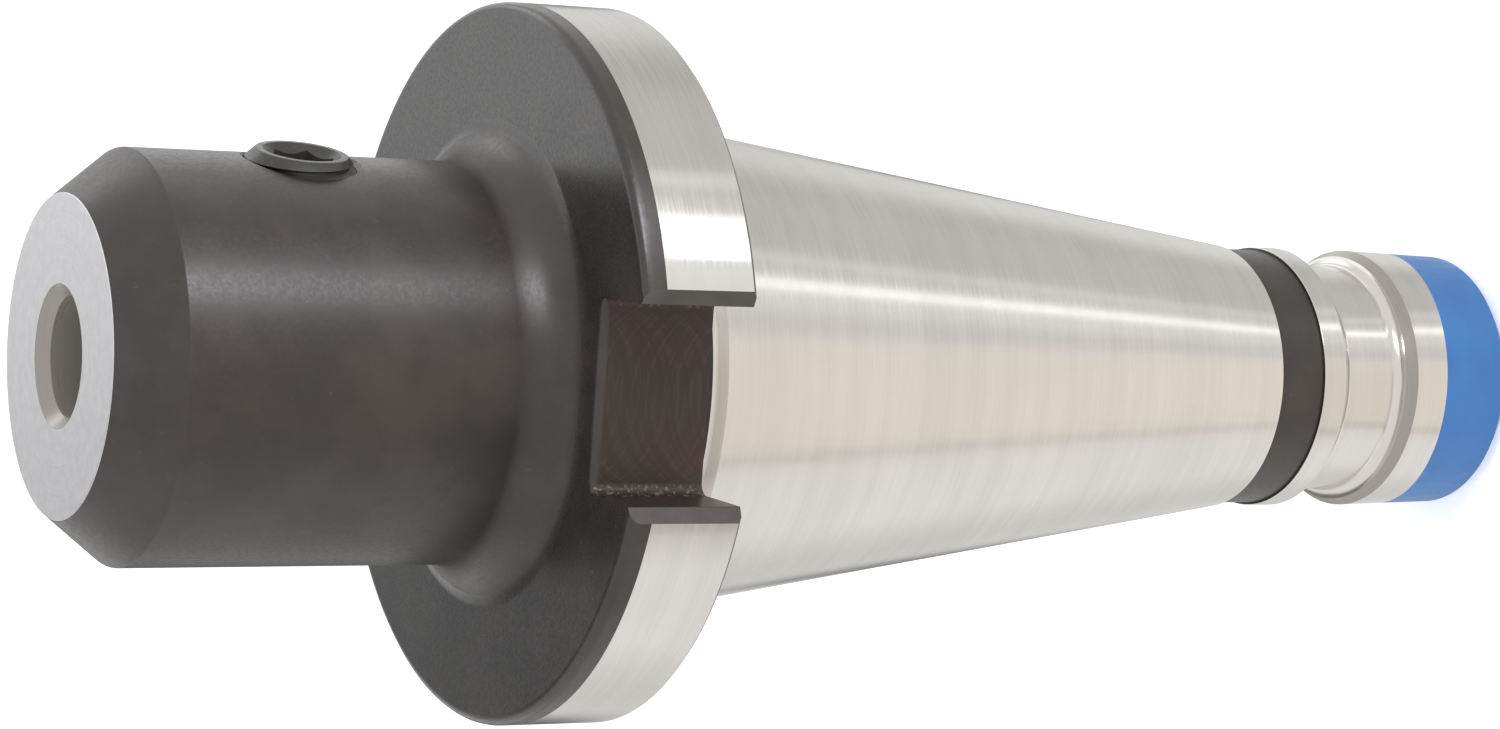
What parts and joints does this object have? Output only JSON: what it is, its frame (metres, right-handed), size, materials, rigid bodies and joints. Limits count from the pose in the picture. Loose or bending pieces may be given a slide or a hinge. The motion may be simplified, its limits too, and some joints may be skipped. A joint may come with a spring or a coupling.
{
  "type": "side lock end mill holder",
  "caption": "Steep taper tool holder with a side screw that clamps the flat of an end mill shank.",
  "frame": {"origin": "centre of the gauge line of the taper", "axes": "+Z along the holder's axis towards the nose, -Z towards the tail; the drive slots face -Y and +Y; the clamping screw backs out 10 degrees off +X, towards -Y"},
  "size_m": [0.063, 0.0604, 0.1434],
  "materials": {
    "tool_steel": "ground, with black oxide on the nose, the flange's face, the slots and the ring behind the taper, and a blue end",
    "black_screw": "black oxide"
  },
  "bodies": {
    "holder": {"holder_body": "tool_steel"},
    "screw": {"clamping_screw": "black_screw"}
  },
  "joints": [
    {"name": "screw_travel", "type": "slide", "parent": "holder", "child": "screw", "axis": [0.9848, -0.1736, 0], "range_m": [-0.0075, 0.0105]}
  ]
}
